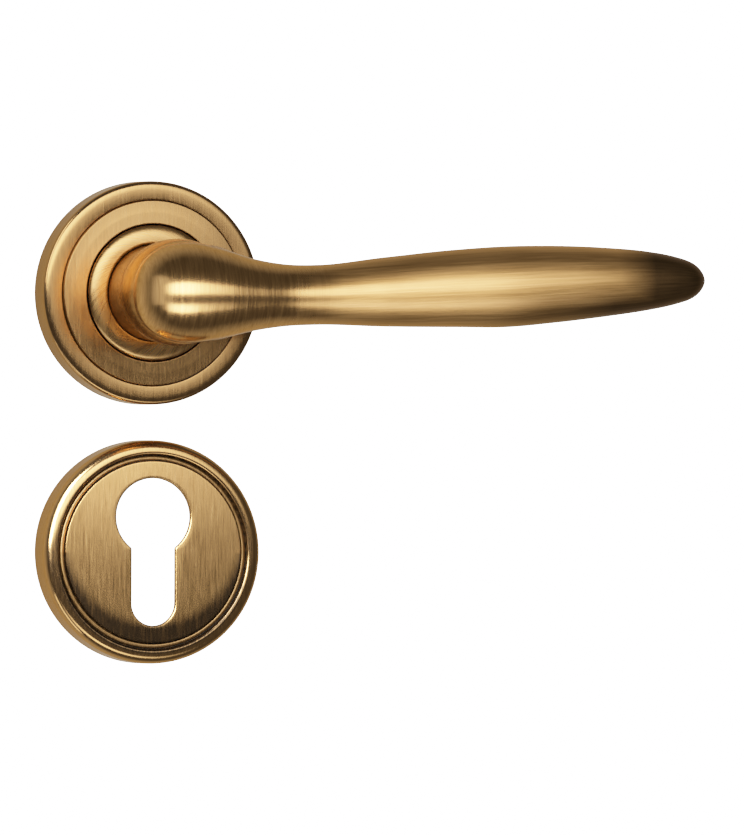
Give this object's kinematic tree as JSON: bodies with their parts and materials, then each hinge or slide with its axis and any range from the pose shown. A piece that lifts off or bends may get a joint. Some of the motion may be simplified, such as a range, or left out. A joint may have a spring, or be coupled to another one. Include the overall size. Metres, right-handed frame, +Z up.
{
  "type": "door lever handle set",
  "caption": "Sprung door lever on a round rose with a matching round keyhole escutcheon for a profile cylinder, in satin aged brass.",
  "frame": {"origin": "where the lever's turning axis meets the door's face", "axes": "+X along the lever from its axis to its tip, +Y into the door along the spindle, +Z up; the room is towards -Y"},
  "size_m": [0.1468, 0.1077, 0.1101],
  "materials": {
    "aged_brass": "satin brushed, browned in the grooves, clear lacquered",
    "zinc_casting": "as cast, dull",
    "zinc_plated_steel": "bright zinc plated",
    "spring_steel": "oiled, dark grey",
    "nylon": "natural, waxy",
    "black_steel": "black oxide"
  },
  "bodies": {
    "door_side": {"rose_base": "zinc_casting", "rose_snap_ring": "spring_steel", "bearing_bush": "nylon", "stop_pin_rest": "zinc_plated_steel", "stop_pin_down": "zinc_plated_steel", "rose_screw_top": "zinc_plated_steel", "rose_screw_bottom": "zinc_plated_steel", "escutcheon_base": "zinc_casting", "escutcheon_snap_ring": "spring_steel", "escutcheon_screw_left": "zinc_plated_steel", "escutcheon_screw_right": "zinc_plated_steel"},
    "lever": {"lever_handle": "aged_brass", "neck_collar": "aged_brass", "thrust_washer": "nylon", "driver_disc": "zinc_plated_steel", "circlip": "spring_steel", "return_spring": "spring_steel", "spindle": "zinc_plated_steel", "grub_screw": "black_steel"},
    "rose_cap": {"rose_cover": "aged_brass"},
    "escutcheon_cap": {"escutcheon_cover": "aged_brass"}
  },
  "joints": [
    {"name": "lever_turn", "type": "hinge", "parent": "door_side", "child": "lever", "pos_m": [0, 0, 0], "axis": [0, 1, 0], "range_deg": [0, 45], "stiffness_Nm_per_rad": 1, "springref_deg": -34.38, "deforming": ["return_spring"]},
    {"name": "rose_cover_pull", "type": "slide", "parent": "door_side", "child": "rose_cap", "axis": [0, -1, 0], "range_m": [0, 0.015]},
    {"name": "escutcheon_cover_pull", "type": "slide", "parent": "door_side", "child": "escutcheon_cap", "axis": [0, -1, 0], "range_m": [0, 0.015]}
  ]
}
